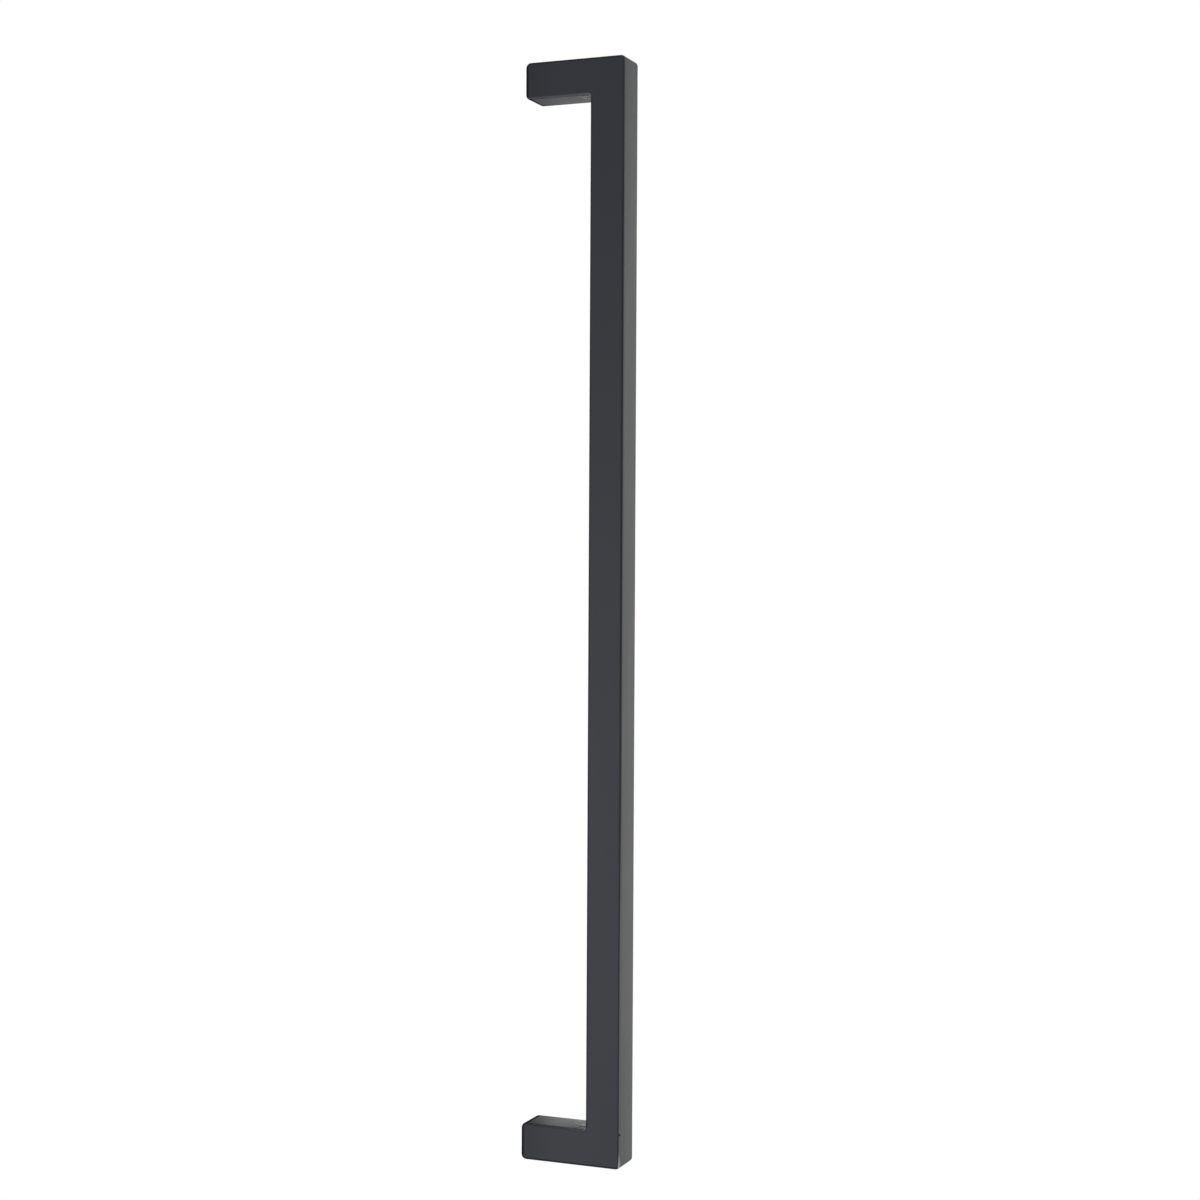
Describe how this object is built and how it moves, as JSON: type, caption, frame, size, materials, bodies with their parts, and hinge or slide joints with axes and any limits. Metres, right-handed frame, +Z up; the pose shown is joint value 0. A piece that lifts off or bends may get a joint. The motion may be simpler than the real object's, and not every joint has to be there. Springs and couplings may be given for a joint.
{
  "type": "appliance pull",
  "caption": "Square-section bar pull for a tall appliance door, with a square leg at each end, eased edges and a flat black finish, screwed on from behind the door.",
  "frame": {"origin": "on the door face, midway between the two screw holes", "axes": "+Z up along the bar, +Y out of the feet into the door, -Y out of the front face, X across the bar"},
  "size_m": [0.0158, 0.046, 0.473],
  "materials": {
    "flat_black": "satin"
  },
  "bodies": {
    "root": {"pull": "flat_black"}
  },
  "joints": []
}
